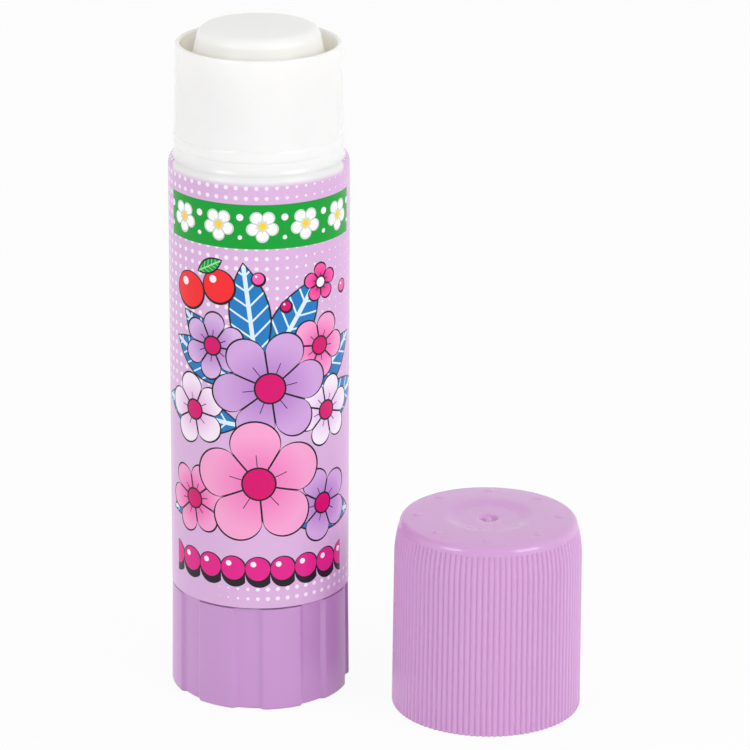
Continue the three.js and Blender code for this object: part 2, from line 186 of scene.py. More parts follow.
# The tube: one white polypropylene moulding. Below its floor a skirt snaps into the knob, the floor
# has the spindle's bearing hole, four ribs guide the glue up the bore, and round the neck runs the
# low bead that the cap clicks over.
SHOULDER_WIDTH = 0.76
SHOULDER_RISE = 1.4
BODY_LENGTH = 60.55
FLOOR_THICKNESS = 1.6
NECK_LENGTH = 15.6
NECK_DRAFT = 0.24
RIM_WALL = 0.63
BEAD_UP = 2.4
BEAD_HEIGHT = 1.6
BEAD_PROUD = 0.15
SKIRT_WALL = 1.4
SKIRT_RADIUS = 10.66
SKIRT_CHAMFER = 0.3
FOOT_ROUND = 0.2
BLEND_WIDTH = 0.4
BLEND_REACH = 0.4
BEARING_RADIUS = 3.0
RIB_ANGLES = np.radians([45, 135, 225, 315])
RIB_WIDTH = 1.2
RIB_RISE = 0.5
RIB_FADE = 0.3
RIBS_BELOW_RIM = 4.8
BARREL_COLUMNS = 288
SHARP_ANGLE = 38


def box_of(node):
    """A node's lowest and highest corner at rest, in millimetres."""
    return [np.array(corner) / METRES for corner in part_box(node)]


def arc(centre, radii, start, end, steps):
    """Points of an ellipse's arc in the plane of radius and height: the centre plus the two radii
    times the cosine and sine of an angle that runs from start to end degrees."""
    angle = np.radians(np.linspace(start, end, steps + 1))
    return np.column_stack([centre[0] + radii[0] * np.cos(angle), centre[1] + radii[1] * np.sin(angle)])


def bend(start, corner, end, steps):
    """A quadratic curve that leaves start and reaches end along the lines through corner: the three
    weighed by (1 - t) squared, twice t(1 - t), and t squared."""
    t = np.linspace(0, 1, steps + 1)[:, None]
    return (1 - t) ** 2 * np.array(start) + 2 * t * (1 - t) * np.array(corner) + t ** 2 * np.array(end)


def turn_angles(columns):
    """Angles of evenly spaced columns round the axis, from the back through the front to the back."""
    return np.linspace(-np.pi, np.pi, columns, endpoint=False)


def rings(values, columns):
    """Each value, a radius or a height, carried round a whole ring of columns."""
    return np.repeat(np.reshape(values, (-1, 1)), columns, axis=1)


def round_surface(name, radius, height, columns, closed=False, middle=(0, 0)):
    """A surface carried round an upright axis. Ring i, column j lies at radius (i, j), turned by the
    column's angle, at height (i, j): its place is the radius times the angle's sine, less the radius
    times its cosine, and the height. closed joins the last ring to the first, and a ring of radius 0
    shrinks to one point, a pole. The UV map holds the angle in turns and the height."""
    if closed:
        radius = np.concatenate([radius, radius[:1]])
        height = np.concatenate([height, height[:1]])
    count = len(radius)
    radius = np.broadcast_to(radius, (count, columns))
    height = np.broadcast_to(height, (count, columns))
    angle = turn_angles(columns)
    points = np.stack([
        middle[0] + radius * np.sin(angle), middle[1] - radius * np.cos(angle), height,
    ], axis=-1).reshape(-1, 3) * METRES
    index = np.arange(count * columns).reshape(count, columns)
    pole = radius.max(axis=1) < 1e-6
    index[pole] = index[pole][:, :1]
    if closed:
        index[-1] = index[0]
    index = np.column_stack([index, index[:, 0]])
    turn = np.linspace(-0.5, 0.5, columns + 1)
    tall = np.column_stack([height, height[:, 0]])
    corner_index = np.stack([index[:-1, :-1], index[:-1, 1:], index[1:, 1:], index[1:, :-1]], axis=-1)
    corner_turn = np.stack(np.broadcast_arrays(turn[:-1], turn[1:], turn[1:], turn[:-1]), axis=-1)
    corner_turn = np.broadcast_to(corner_turn, corner_index.shape)
    corner_tall = np.stack([tall[:-1, :-1], tall[:-1, 1:], tall[1:, 1:], tall[1:, :-1]], axis=-1)
    corner_uv = np.stack([corner_turn, corner_tall], axis=-1)
    from_pole, to_pole = pole[:-1], pole[1:]
    whole = ~(from_pole | to_pole)
    quads = corner_index[whole].reshape(-1, 4)
    fans = np.concatenate([
        corner_index[from_pole][..., [0, 2, 3]].reshape(-1, 3),
        corner_index[to_pole][..., [0, 1, 2]].reshape(-1, 3),
    ])
    uv = np.concatenate([
        corner_uv[whole].reshape(-1, 2),
        corner_uv[from_pole][..., [0, 2, 3], :].reshape(-1, 2),
        corner_uv[to_pole][..., [0, 1, 2], :].reshape(-1, 2),
    ])
    used, places = np.unique(np.concatenate([quads.ravel(), fans.ravel()]), return_inverse=True)
    quads = places[:quads.size].reshape(-1, 4)
    fans = places[quads.size:].reshape(-1, 3)
    mesh = bpy.data.meshes.new(name)
    mesh.from_pydata(points[used], [], quads.tolist() + fans.tolist())
    mesh.uv_layers.new(name="round_and_up")
    mesh.uv_layers[0].data.foreach_set("uv", uv.astype(np.float32).ravel())
    mesh.shade_smooth()
    mesh.set_sharp_from_angle(angle=np.radians(SHARP_ANGLE))
    piece = bpy.data.objects.new(name, mesh)
    scene.collection.objects.link(piece)
    return piece


def rib_share(width, columns):
    """One where a column lies within half a width of the nearest guide rib's middle, measured round
    the bore, falling evenly to zero over RIB_FADE beside it."""
    away = (turn_angles(columns)[:, None] - RIB_ANGLES + np.pi) % (2 * np.pi) - np.pi
    arc_away = np.abs(away).min(axis=1) * bore_radius
    return np.clip((width / 2 + RIB_FADE - arc_away) / RIB_FADE, 0, 1)


barrel_low, barrel_high = box_of("barrel")
label_low, label_high = box_of("label_sleeve")
barrel_radius = barrel_high[0]
rim_top = barrel_high[2]
neck_start = rim_top - NECK_LENGTH
shoulder_start = neck_start - SHOULDER_RISE
barrel_foot = shoulder_start - BODY_LENGTH
floor_top = barrel_foot + FLOOR_THICKNESS
neck_radius = barrel_radius - SHOULDER_WIDTH
rim_radius = neck_radius - NECK_DRAFT
bore_radius = rim_radius - RIM_WALL

# The shoulder's ellipse stops BLEND_WIDTH off the neck, and a curve goes on along its slope to the neck
blend_share = BLEND_WIDTH / SHOULDER_WIDTH
blend_start = shoulder_start + SHOULDER_RISE * np.sqrt(1 - blend_share ** 2)
blend_slope = SHOULDER_RISE / SHOULDER_WIDTH * blend_share / np.sqrt(1 - blend_share ** 2)
blend_corner = blend_start + BLEND_WIDTH * blend_slope
bead_middle = neck_start + BEAD_UP
barrel_profile = np.vstack([
    [SKIRT_RADIUS - SKIRT_WALL, barrel_low[2]],
    [SKIRT_RADIUS - SKIRT_CHAMFER, barrel_low[2]],
    [SKIRT_RADIUS, barrel_low[2] + SKIRT_CHAMFER],
    [SKIRT_RADIUS, barrel_foot],
    arc((barrel_radius - FOOT_ROUND, barrel_foot + FOOT_ROUND), (FOOT_ROUND, FOOT_ROUND), -90, 0, 4),
    arc((neck_radius, shoulder_start), (SHOULDER_WIDTH, SHOULDER_RISE), 0,
        np.degrees(np.arccos(blend_share)), 12),
    bend((neck_radius + BLEND_WIDTH, blend_start), (neck_radius, blend_corner),
         (neck_radius, blend_corner + BLEND_REACH), 8)[1:],
    arc((neck_radius, bead_middle), (BEAD_PROUD, BEAD_HEIGHT / 2), -90, 90, 14),
    arc((rim_radius - RIM_WALL / 2, rim_top - RIM_WALL / 2), (RIM_WALL / 2, RIM_WALL / 2), 0, 180, 12),
    [bore_radius, rim_top - RIBS_BELOW_RIM],
    [bore_radius, rim_top - RIBS_BELOW_RIM - RIB_RISE],
    [bore_radius, floor_top],
    [BEARING_RADIUS, floor_top],
    [BEARING_RADIUS, barrel_foot],
    [SKIRT_RADIUS - SKIRT_WALL, barrel_foot],
])
barrel_rings = rings(barrel_profile[:, 0], BARREL_COLUMNS)
ribbed = (barrel_profile[:, 0] == bore_radius) & (barrel_profile[:, 1] < rim_top - RIBS_BELOW_RIM)
barrel_rings[ribbed] -= RIB_RISE * rib_share(RIB_WIDTH, BARREL_COLUMNS)
tube = round_surface("tube", barrel_rings, barrel_profile[:, 1:], BARREL_COLUMNS, closed=True)


def moulded_plastic(name, colour, gloss, grain, haze, reach, tint):
    """A moulded plastic and its surface node. Noise with this grain in millimetres roughens its face
    0.003 times as deep and makes its gloss wander by a tenth, and noise of 6 mm darkens its tone by up
    to a twenty-fifth. haze is the share of light that goes into it, reach how far in millimetres, and
    tint that for red, green and blue."""
    plastic, tree = new_material(name)
    place = add(tree, "TexCoord").outputs["Object"]
    fine = add(tree, "TexNoise", {"Vector": place, "Scale": 1 / (grain * METRES), "Detail": 3.0})
    slow = add(tree, "TexNoise", {"Vector": place, "Scale": 1 / (6 * METRES), "Detail": 2.0})
    bump = add(tree, "Bump", {"Height": fine, "Strength": 1.0, "Distance": 0.003 * grain * METRES})
    roughness = add(tree, "MapRange", {"Value": fine, "To Min": 0.9 * gloss, "To Max": 1.1 * gloss})
    shade = np.array(linear(colour)) * (0.97, 0.96, 0.97, 1)
    tone = add(tree, "Mix", {0: slow, 6: tuple(shade), 7: linear(colour)}, data_type="RGBA")
    surface = add(tree, "BsdfPrincipled", {
        "Base Color": tone, "Roughness": roughness, "IOR": 1.49, "Specular IOR Level": 0.6,
        "Normal": bump, "Subsurface Weight": haze, "Subsurface Radius": tint,
        "Subsurface Scale": reach * METRES,
    })
    add(tree, "OutputMaterial", {"Surface": surface})
    return plastic, surface


# White polypropylene from a polished mould: an even gloss. The bore takes more light into its wall, and
# a warm painted glow in its colour stands for the light that comes through its thin wall and fills its
# depth. Both fade just inside the wall.
OUTSIDE_HAZE = 0.3
BORE_HAZE = 1.0
BORE_PAINTED_GLOW = "#fff6e6"
BORE_LIGHT_FULL = 0.05
BORE_LIGHT_GONE = 0.3

white_plastic, white_face = moulded_plastic(
    "moulded_white_polypropylene", "#faf9f6", gloss=0.22, grain=1.1, haze=OUTSIDE_HAZE, reach=3.0,
    tint=(1.0, 0.85, 0.7),
)
tube_tree = white_plastic.node_tree
from_axis = add(tube_tree, "VectorMath", {0: add(tube_tree, "TexCoord").outputs["Object"], 1: (1, 1, 0)},
                operation="MULTIPLY")
from_axis = add(tube_tree, "VectorMath", {0: from_axis}, operation="LENGTH")
outside = add(tube_tree, "MapRange", {
    "Value": from_axis, "From Min": (bore_radius + BORE_LIGHT_FULL) * METRES,
    "From Max": (bore_radius + BORE_LIGHT_GONE) * METRES,
})
wall_haze = add(tube_tree, "MapRange", {"Value": outside, "To Min": BORE_HAZE, "To Max": OUTSIDE_HAZE})
white_tone = white_face.inputs["Base Color"].links[0].from_socket
# Towards the bore the white turns to a warm painted glow, a colour that stands for light shining through
# the wall
painted_bore_glow = add(tube_tree, "Mix", {0: outside, 6: linear(BORE_PAINTED_GLOW), 7: white_tone}, data_type="RGBA")
painted_bore_glow_colour = next(output for output in painted_bore_glow.outputs if output.enabled)
tube_tree.links.new(wall_haze.outputs["Result"], white_face.inputs["Subsurface Weight"])
tube_tree.links.new(painted_bore_glow_colour, white_face.inputs["Base Color"])
tube.data.materials.append(white_plastic)
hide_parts("barrel")
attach(tube, "tube")


# The label: a thin shrink film wrapped round the tube and drawn in over its shoulder, up to the neck.
# It is printed lilac with white dots, a green stripe and a bunch of flowers; in front the lilac stops
# just under the shoulder.
FILM_THICKNESS = 0.1
FILM_GAP = 0.02
FILM_CURL = 75
FILM_HUG = 0.8
LABEL_RINGS = 24
LABEL_COLUMNS = 256


def s_curve(share):
    """An S-curve from zero to one: the share squared, times three less twice the share."""
    return share * share * (3 - 2 * share)


def over_shoulder(offset, start, end, steps):
    """An arc of the shoulder's quarter ellipse, grown by offset. The growth shrinks to the part that
    FILM_HUG leaves of it between the middle of the curl and its edge, by an S-curve."""
    share = np.clip(np.linspace(start, end, steps + 1) / FILM_CURL * 2 - 1, 0, 1)[:, None]
    grown = offset * (1 - FILM_HUG * s_curve(share))
    unit = arc((0, 0), (1, 1), start, end, steps)
    return (neck_radius, shoulder_start) + unit * ((SHOULDER_WIDTH, SHOULDER_RISE) + grown)


film_outside = FILM_GAP + FILM_THICKNESS
label_heights = np.linspace(label_low[2], shoulder_start, LABEL_RINGS, endpoint=False)
label_profile = np.vstack([
    [barrel_radius + FILM_GAP, label_low[2]],
    np.column_stack([np.full(LABEL_RINGS, barrel_radius + film_outside), label_heights]),
    over_shoulder(film_outside, 0, FILM_CURL, 16),
    over_shoulder(FILM_GAP, FILM_CURL, 0, 16),
])
label = round_surface("label", label_profile[:, :1], label_profile[:, 1:], LABEL_COLUMNS, closed=True)

# Printed film: flat inks with crisp edges under a satin face. The print is drawn in millimetres:
# across is the way round the tube from the middle of the front, up is the height. It is a list of
# layers, each a field, the value past which it is inked, the width of its edge, and its colour.
LILAC = "#dab2dc"
WHITE = "#f7f2f8"
BLACK = "#1d1822"
MAGENTA = "#d5006d"
PINK = "#f06ab4"
PALE_PINK = "#f7a0d2"
VIOLET = "#b985cb"
PALE_VIOLET = "#d6b0e2"
GREEN = "#009e32"
BLUE = "#1e78be"
RED = "#f4282d"
CERISE = "#e0218a"
ROSE = "#ff56a9"
DOT_WHITE = "#f4eaf6"
FILM_END_WHITE = "#e9e8e9"
CRISP = 0.03
OUTLINE = 0.26
VEIN_PAIRS = 7
VEIN_SLANT = 0.16
SIDE_VEIN = 0.023
MAIN_VEIN = 0.1
PETAL_WAIST = 0.58
PETAL_BULGE = 0.42
PETAL_ROUNDNESS = 0.55
BLUSH_REACH = 0.78
LINE_REACH = 0.46
HEART_RADIUS = 0.24
BLUSH_EDGE = 0.5
BLUSH_STEEPNESS = 40.0
DOT_PITCH = 1.4025
DOTS_ROUND = 56
DOT_ROW = 75.60
DOT_RADIUS = 0.31
DOT_SPREAD = 0.03
DOT_EDGE = 0.08
STRIPE_MIDDLE = (0.8, 70.245)
STRIPE_HALF_SIZE = (15.4, 3.115)
BLOSSOM_ROW = 70.25
BLOSSOM_PITCH = 6.1
GARLAND_ROW = 21.1
GARLAND_PITCH = 3.5
GARLAND_MIDDLE = (0, 21.0)
GARLAND_HALF_SIZE = (14.0, 4.0)
SPRAY_ROW = 46.0
SPRAY_PITCH = 15.0
SPRAY_HALF_HEIGHT = 22.5
ONE_ROW = 100.0
FILM_END = 75.70
FILM_END_EDGE = 0.7
FILM_END_RISE = 1.7
FILM_END_FRONT = 14.4
FILM_END_SIDE = 16.4
FILM_WAVES_PER_MM = 0.45

half_round = np.pi * label_high[0]
printed, ink_tree = new_material("printed_shrink_film")
film_uv = add(ink_tree, "UVMap", uv_map="round_and_up")
film_parts = add(ink_tree, "SeparateXYZ", {"Vector": film_uv})
across = add(ink_tree, "Math", {0: film_parts.outputs["X"], 1: 2 * half_round}, operation="MULTIPLY")
up = film_parts.outputs["Y"]
drawing = add(ink_tree, "CombineXYZ", {"X": across, "Y": up})
from_front = add(ink_tree, "Math", {0: across}, operation="ABSOLUTE")


def leaf(place, length, width, turned, ink=BLUE, vein_ink="#d8ecf8"):
    """Layers of a pointed leaf. Its edge lies 4x(1 - x) half widths off its middle line, for a share x
    of its length. A side vein lies where that share, less VEIN_SLANT of the way out, is a whole number
    of VEIN_PAIRS' parts."""
    spot = add(ink_tree, "Mapping", {
        "Vector": drawing, "Location": (*place, 0), "Rotation": (0, 0, np.radians(turned)),
        "Scale": (length, width / 2, 1),
    }, vector_type="TEXTURE")
    parts = add(ink_tree, "SeparateXYZ", {"Vector": spot})
    aside = add(ink_tree, "Math", {0: parts.outputs["Y"]}, operation="ABSOLUTE")
    past_middle = add(ink_tree, "Math", {0: parts.outputs["X"], 1: 0.5}, operation="SUBTRACT")
    bow = add(ink_tree, "Math", {0: past_middle, 1: past_middle}, operation="MULTIPLY")
    edge = add(ink_tree, "Math", {0: bow, 1: -4.0, 2: 1.0}, operation="MULTIPLY_ADD")
    blade = add(ink_tree, "Math", {0: edge, 1: aside}, operation="SUBTRACT")
    face = add(ink_tree, "Math", {0: blade, 1: 2 * OUTLINE / width}, operation="SUBTRACT")
    slant = add(ink_tree, "Math", {0: aside, 1: -VEIN_SLANT, 2: parts.outputs["X"]},
                operation="MULTIPLY_ADD")
    step = add(ink_tree, "Math", {0: slant, 1: 1 / VEIN_PAIRS}, operation="MODULO")
    side_vein = add(ink_tree, "Math", {0: SIDE_VEIN, 1: step}, operation="SUBTRACT")
    main_vein = add(ink_tree, "Math", {0: MAIN_VEIN, 1: aside}, operation="SUBTRACT")
    veins = add(ink_tree, "Math", {0: side_vein, 1: main_vein}, operation="MAXIMUM")
    veins = add(ink_tree, "Math", {0: veins, 1: face}, operation="MINIMUM")
    return [(blade, 0, CRISP, BLACK), (face, 0, CRISP, ink), (veins, 0, CRISP / 9, vein_ink)]


def flower(place, radius, petals, turned, inner, outer, heart=MAGENTA, line_ink=BLACK, on=drawing):
    """Layers of a flower with round petals. Its edge lies PETAL_WAIST + PETAL_BULGE c^PETAL_ROUNDNESS
    radii from its middle, where c is the size of the cosine of half the petals times the angle. Lines
    part the petals and run a little way up them from the heart."""
    line = OUTLINE / radius
    spot = add(ink_tree, "Mapping", {
        "Vector": on, "Location": (*place, 0), "Rotation": (0, 0, np.radians(turned)),
        "Scale": (radius, radius, 1),
    }, vector_type="TEXTURE")
    parts = add(ink_tree, "SeparateXYZ", {"Vector": spot})
    distance = add(ink_tree, "VectorMath", {0: spot}, operation="LENGTH")
    angle = add(ink_tree, "Math", {0: parts.outputs["Y"], 1: parts.outputs["X"]}, operation="ARCTAN2")
    half_turns = add(ink_tree, "Math", {0: angle, 1: petals / 2}, operation="MULTIPLY")
    wave = add(ink_tree, "Math", {0: half_turns}, operation="COSINE")
    wave = add(ink_tree, "Math", {0: wave}, operation="ABSOLUTE")
    bulge = add(ink_tree, "Math", {0: wave, 1: PETAL_ROUNDNESS}, operation="POWER")
    edge = add(ink_tree, "Math", {0: bulge, 1: PETAL_BULGE, 2: PETAL_WAIST}, operation="MULTIPLY_ADD")
    petal = add(ink_tree, "Math", {0: edge, 1: distance}, operation="SUBTRACT")
    gap = add(ink_tree, "Math", {0: distance, 1: wave}, operation="MULTIPLY")
    gap = add(ink_tree, "Math", {0: gap, 1: line * petals / 4}, operation="SUBTRACT")
    face = add(ink_tree, "Math", {0: petal, 1: line}, operation="SUBTRACT")
    face = add(ink_tree, "Math", {0: face, 1: gap}, operation="MINIMUM")
    steep_face = add(ink_tree, "Math", {0: face, 1: BLUSH_STEEPNESS}, operation="MULTIPLY")
    near_heart = add(ink_tree, "Math", {0: BLUSH_REACH, 1: distance}, operation="SUBTRACT")
    blush = add(ink_tree, "Math", {0: near_heart, 1: steep_face}, operation="MINIMUM")
    streak = add(ink_tree, "Math", {0: half_turns, 1: 2.0}, operation="MULTIPLY")
    streak = add(ink_tree, "Math", {0: streak}, operation="SINE")
    streak = add(ink_tree, "Math", {0: streak}, operation="ABSOLUTE")
    streak = add(ink_tree, "Math", {0: streak, 1: distance}, operation="MULTIPLY")
    streak = add(ink_tree, "Math", {0: line * petals / 4, 1: streak}, operation="SUBTRACT")
    low_part = add(ink_tree, "Math", {0: LINE_REACH, 1: distance}, operation="SUBTRACT")
    streak = add(ink_tree, "Math", {0: streak, 1: low_part}, operation="MINIMUM")
    middle = add(ink_tree, "Math", {0: HEART_RADIUS, 1: distance}, operation="SUBTRACT")
    crisp = CRISP / radius
    return [(petal, 0, crisp, line_ink), (face, 0, crisp, outer), (blush, 0, BLUSH_EDGE, inner),
            (streak, 0, crisp, line_ink), (middle, -line, crisp, line_ink), (middle, 0, crisp, heart)]


def disc(place, radius, colour, on=drawing):
    """The layer of a plain round spot."""
    distance = add(ink_tree, "VectorMath", {0: on, 1: (*place, 0)}, operation="DISTANCE")
    return [(add(ink_tree, "Math", {0: radius, 1: distance}, operation="SUBTRACT"), 0, CRISP, colour)]


def berry(place, radius, colour, on=drawing):
    """Layers of a round berry: a black spot that shows as its outline, heavier below, its skin, and a
    white glint up to the left."""
    x, y = place
    return (disc((x + 0.05, y - 0.1), radius + OUTLINE, BLACK, on) + disc(place, radius, colour, on)
            + disc((x - 0.35 * radius, y + 0.4 * radius), 0.24 * radius, WHITE, on))


def inside(middle, half_size):
    """How deep the drawing lies inside an upright rectangle, in millimetres."""
    away = add(ink_tree, "VectorMath", {0: drawing, 1: (*middle, 0)}, operation="SUBTRACT")
    away = add(ink_tree, "VectorMath", {0: away}, operation="ABSOLUTE")
    depth = add(ink_tree, "VectorMath", {0: (*half_size, 0), 1: away}, operation="SUBTRACT")
    depth = add(ink_tree, "SeparateXYZ", {"Vector": depth})
    return add(ink_tree, "Math", {0: depth.outputs["X"], 1: depth.outputs["Y"]}, operation="MINIMUM")


def cells(middle, pitch):
    """The drawing folded into one cell of a pattern, seen from the cell's middle."""
    moved = add(ink_tree, "VectorMath", {0: drawing, 1: (*middle, 0)}, operation="SUBTRACT")
    half = (pitch[0] / 2, pitch[1] / 2, 1)
    return add(ink_tree, "VectorMath", {0: moved, 1: half, 2: tuple(-v for v in half)}, operation="WRAP")


# Two bands of dots go all the way round. A dot is full where it is near to the densest place across
# and shrinks to its thin size farther away.
dot_cells = cells((0, DOT_ROW), (2 * half_round / DOTS_ROUND, DOT_PITCH))
dot_away = add(ink_tree, "VectorMath", {0: dot_cells}, operation="LENGTH")
layers = []
for middle, half_size, dense, full_to, thin_from, thin in (
    ((0, 62.25), (half_round, 16.75), -10, 6, 26, 0.10), ((0, 17.5), (half_round, 1.6), 14, 12, 23, 0.0),
):
    away = add(ink_tree, "Math", {0: across, 1: dense}, operation="SUBTRACT")
    away = add(ink_tree, "Math", {0: away}, operation="ABSOLUTE")
    size = add(ink_tree, "MapRange", {
        "Value": away, "From Min": full_to, "From Max": thin_from, "To Min": DOT_RADIUS, "To Max": thin,
    }, interpolation_type="SMOOTHSTEP")
    dot = add(ink_tree, "Math", {0: size, 1: dot_away}, operation="SUBTRACT")
    dot = add(ink_tree, "Math", {0: dot, 1: inside(middle, half_size)}, operation="MINIMUM")
    layers.append((dot, -DOT_SPREAD, DOT_EDGE, DOT_WHITE))
stripe = inside(STRIPE_MIDDLE, STRIPE_HALF_SIZE)
layers.append((stripe, 0, CRISP, GREEN))

# White blossoms with buds between them on the stripe, a garland of berries at the foot, and sprays of
# two flowers on the back half. A pitch of ONE_ROW upwards leaves a single row of cells.
blossom_cells = cells((STRIPE_MIDDLE[0], BLOSSOM_ROW), (BLOSSOM_PITCH, ONE_ROW))
bud_cells = cells((STRIPE_MIDDLE[0] + BLOSSOM_PITCH / 2, BLOSSOM_ROW), (BLOSSOM_PITCH, ONE_ROW))
blossoms = (flower((0, 0.1), 2.3, 5, 54, "#ffffff", "#ffffff", "#ffd23c", "#cfd8d2", blossom_cells)
            + disc((0, 1.3), 0.5, WHITE, bud_cells) + disc((0, -1.5), 0.32, WHITE, bud_cells))
garland_cells = cells((0, GARLAND_ROW), (GARLAND_PITCH, ONE_ROW))
garland = disc((0.25, -0.75), 2.0, BLACK, garland_cells) + berry((0, 0), 1.72, CERISE, garland_cells)
spray_cells = cells((half_round * 7 / 8, SPRAY_ROW), (half_round / 4, SPRAY_PITCH))
sprays = (flower((-1.6, 2.4), 2.6, 5, 20, PINK, PALE_PINK, on=spray_cells)
          + flower((2.6, -3.2), 2.0, 6, 40, VIOLET, PALE_VIOLET, on=spray_cells))
off_front = add(ink_tree, "Math", {0: from_front, 1: half_round / 2}, operation="SUBTRACT")
spray_band = inside((0, SPRAY_ROW), (half_round, SPRAY_HALF_HEIGHT))
behind = add(ink_tree, "Math", {0: off_front, 1: spray_band}, operation="MINIMUM")
foot_band = inside(GARLAND_MIDDLE, GARLAND_HALF_SIZE)
for area, motifs in ((stripe, blossoms), (foot_band, garland), (behind, sprays)):
    for field, limit, soft, colour in motifs:
        kept = add(ink_tree, "Math", {0: field, 1: area}, operation="MINIMUM")
        layers.append((kept, limit, soft, colour))

# The bunch in front, from the back of the bunch to the front: leaves, flowers, berries
for place, length, width, turned in (
    ((0.0, 47.0), 15.5, 6.2, 138), ((1.0, 50.0), 15.0, 6.4, 58), ((0.0, 50.0), 15.5, 6.0, 97),
    ((-2.0, 42.0), 15.0, 6.0, 174), ((4.0, 42.0), 15.5, 6.2, 12), ((-3.0, 33.0), 13.5, 5.8, 205),
    ((2.0, 30.0), 15.5, 5.8, -12), ((4.0, 45.0), 15.0, 6.0, 32), ((-2.0, 48.0), 12.5, 5.6, 156),
):
    layers += leaf(place, length, width, turned)
for place, radius, petals, turned, inner, outer in (
    ((9.3, 52.6), 4.9, 5, 64, PINK, PALE_PINK), ((-6.4, 53.0), 5.0, 6, 25, VIOLET, PALE_VIOLET),
    ((-9.6, 43.2), 5.4, 5, 30, "#e9b9e4", "#f6e6f6"), ((10.6, 43.0), 5.2, 6, 12, "#e6c4ee", "#f6ecf8"),
    ((1.8, 47.4), 8.4, 6, 8, VIOLET, "#cfa3dc"), ((9.9, 29.6), 5.6, 5, 40, VIOLET, "#d2a8de"),
    ((-9.8, 30.2), 5.4, 6, 10, PINK, "#f4a0d0"), ((0.2, 33.6), 9.2, 5, 95, "#ee7fbe", "#f4a3d0"),
):
    layers += flower(place, radius, petals, turned, inner, outer)
for place, radius, colour in (
    ((-10.3, 60.3), 2.5, RED), ((-5.4, 61.6), 2.3, RED),
    ((0.2, 63.0), 0.8, ROSE), ((14.2, 60.0), 0.8, ROSE), ((4.0, 59.0), 0.7, MAGENTA),
):
    layers += berry(place, radius, colour)
layers += leaf((-8.8, 63.2), 4.6, 2.2, 28, GREEN, "#9be0a8")
layers += flower((9.4, 61.6), 2.9, 5, 20, CERISE, ROSE, WHITE)

# The white end begins at FILM_END in front. At the sides it begins FILM_END_RISE higher, past the film.
end_rise = add(ink_tree, "MapRange", {
    "Value": from_front, "From Min": FILM_END_FRONT, "From Max": FILM_END_SIDE, "To Max": FILM_END_RISE,
}, interpolation_type="SMOOTHSTEP")
over_print = add(ink_tree, "Math", {0: up, 1: end_rise}, operation="SUBTRACT")
layers.append((over_print, FILM_END, FILM_END_EDGE, FILM_END_WHITE))

ink = linear(LILAC)
for field, limit, soft, colour in layers:
    share = add(ink_tree, "MapRange", {"Value": field, "From Min": limit, "From Max": limit + soft})
    ink = add(ink_tree, "Mix", {0: share, 6: ink, 7: linear(colour)}, data_type="RGBA")
film_waves = add(ink_tree, "TexNoise", {"Vector": drawing, "Scale": FILM_WAVES_PER_MM, "Detail": 2.0})
film_bump = add(ink_tree, "Bump", {"Height": film_waves, "Strength": 0.15, "Distance": 0.1 * METRES})
film_surface = add(ink_tree, "BsdfPrincipled", {
    "Base Color": ink, "Roughness": 0.24, "IOR": 1.5, "Specular IOR Level": 0.25, "Normal": film_bump,
})
add(ink_tree, "OutputMaterial", {"Surface": film_surface})
label.data.materials.append(printed)
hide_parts("label_sleeve")
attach(label, "tube")


# The turning knob: lilac polypropylene, a skirt with eight broad lands and shallow grooves for the
# fingers, closed by a floor. Six webs stiffen the boss that the spindle's foot snaps into.
KNOB_DRAFT = 0.19
KNOB_STEP = 0.08
KNOB_WALL = 1.1
KNOB_FLOOR = 1.6
KNOB_FOOT_ROUND = 0.45
KNOB_LIP_ROUND = 0.1
FLUTE_COUNT = 8
FLUTE_PHASE = 15.9
FLUTE_DEPTH = 0.5
LAND_HALF_ANGLE = 12.0
FLANK_ANGLE = 3.4
BOSS_RADIUS = 4.8
BOSS_TOP = 9.0
WEB_COUNT = 6
WEB_THICKNESS = 1.0
WEB_TOP = 5.2
PLATE_FADE = 0.1
RECESS_INNER = 3.6
RECESS_OUTER = 9.6
RECESS_DEPTH = 0.6
RECESS_CHAMFER = 0.3
SOCKET_RADIUS = 2.95
FOOT_RING = 5.4
RING_PROUD = 0.25
SOCKET_RING_HALF = 0.65
SOCKET_RING_REACH = 0.7
KNOB_COLUMNS = 720


def flute_share(columns):
    """Zero on a land and one in a groove, and an S-curve between them on a flank."""
    pitch = 360 / FLUTE_COUNT
    away = np.abs((np.degrees(turn_angles(columns)) - FLUTE_PHASE + pitch / 2) % pitch - pitch / 2)
    return s_curve(np.clip((away - LAND_HALF_ANGLE) / FLANK_ANGLE, 0, 1))


def plate_share(radius, count, thickness, columns):
    """One where a column, at this radius, lies in one of the upright plates that stand on evenly
    spaced radii, falling evenly to zero over PLATE_FADE beside it."""
    pitch = 2 * np.pi / count
    away = (turn_angles(columns) + pitch / 2) % pitch - pitch / 2
    return np.clip((thickness / 2 + PLATE_FADE - np.abs(radius * np.sin(away))) / PLATE_FADE, 0, 1)


def hexagon(radius, columns):
    """A hexagon's distance from the axis: its corner radius times cos 30 over the cosine of the
    angle to the nearest flat's middle."""
    away = (turn_angles(columns) % (np.pi / 3)) - np.pi / 6
    return radius * np.cos(np.pi / 6) / np.cos(away)


def snap_ring(height, radius, ring_half, columns):
    """The hexagonal foot's distance from the axis at one height, with the low ring round it, whose
    section is a triangle."""
    flat = radius * np.cos(np.pi / 6)
    rise = np.clip(1 - np.abs(height - FOOT_RING) / ring_half, 0, 1)
    return np.maximum(hexagon(radius, columns), flat + (radius + RING_PROUD - flat) * rise)


